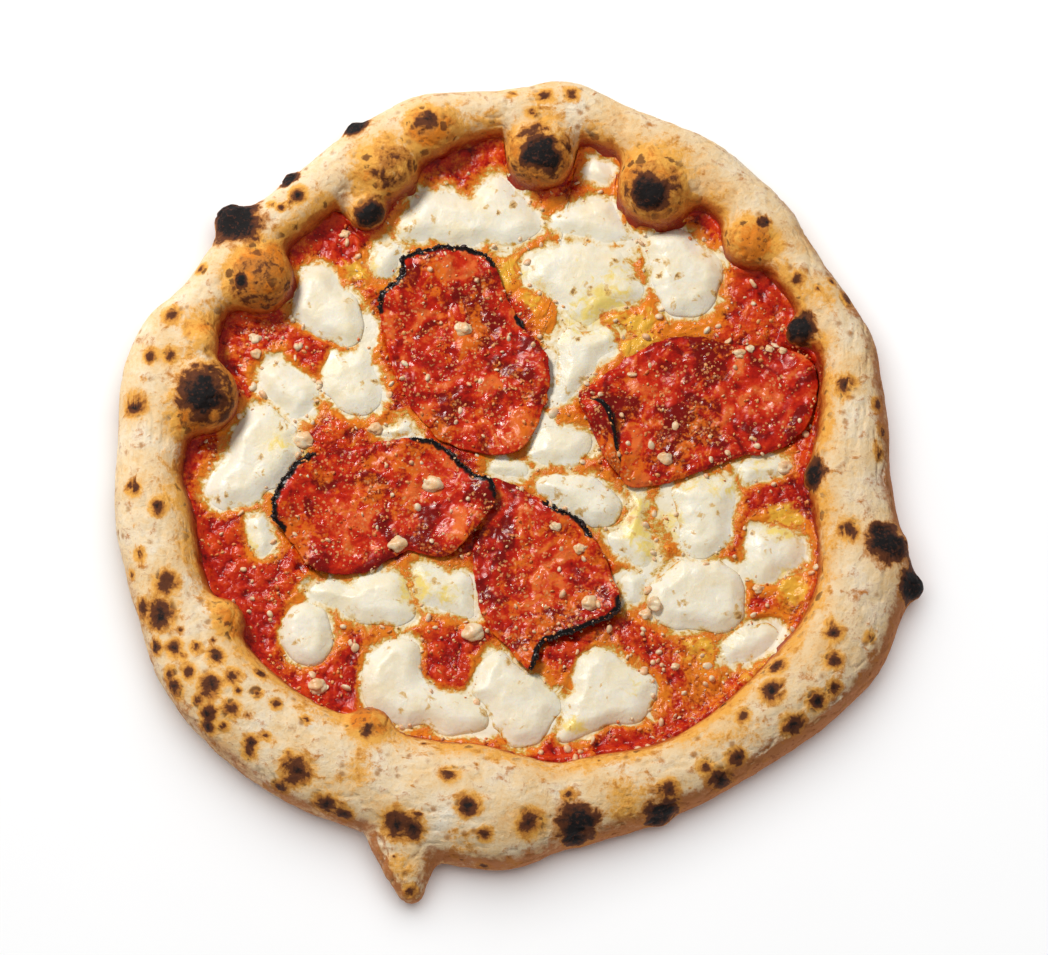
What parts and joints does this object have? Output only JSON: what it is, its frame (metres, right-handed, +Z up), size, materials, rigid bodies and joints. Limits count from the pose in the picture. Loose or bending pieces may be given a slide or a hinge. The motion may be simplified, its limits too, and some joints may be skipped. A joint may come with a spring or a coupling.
{
  "type": "diavola pizza",
  "caption": "Round wood-oven pizza with a puffed, charred rim, tomato sauce, melted torn mozzarella and curled slices of spicy salami.",
  "frame": {"origin": "on the flat underside, below the middle of the base", "axes": "+Z up out of the toppings, +Y away from the picture's near edge, +X to the picture's right"},
  "size_m": [0.3153, 0.3316, 0.0273],
  "materials": {
    "baked_dough": "floury baked dough with leopard spots and charred blisters",
    "tomato_sauce": "wet, lumpy cooked tomato with oil",
    "mozzarella": "soft glossy melted cheese with small scorch dots",
    "salami": "oily cured meat with pale fat and charred edges"
  },
  "bodies": {
    "root": {"crust": "baked_dough", "tomato_sauce": "tomato_sauce", "mozzarella_01": "mozzarella", "mozzarella_02": "mozzarella", "mozzarella_03": "mozzarella", "mozzarella_04": "mozzarella", "mozzarella_05": "mozzarella", "mozzarella_06": "mozzarella", "mozzarella_07": "mozzarella", "mozzarella_08": "mozzarella", "mozzarella_09": "mozzarella", "mozzarella_10": "mozzarella", "mozzarella_11": "mozzarella", "mozzarella_12": "mozzarella", "mozzarella_13": "mozzarella", "mozzarella_14": "mozzarella", "mozzarella_15": "mozzarella", "mozzarella_16": "mozzarella", "mozzarella_17": "mozzarella", "mozzarella_18": "mozzarella", "mozzarella_19": "mozzarella", "mozzarella_20": "mozzarella", "mozzarella_21": "mozzarella", "mozzarella_22": "mozzarella", "mozzarella_23": "mozzarella", "mozzarella_24": "mozzarella", "mozzarella_25": "mozzarella", "mozzarella_26": "mozzarella", "mozzarella_27": "mozzarella", "mozzarella_28": "mozzarella", "mozzarella_29": "mozzarella", "salami_1": "salami", "salami_2": "salami", "salami_3": "salami", "salami_4": "salami"}
  },
  "joints": []
}
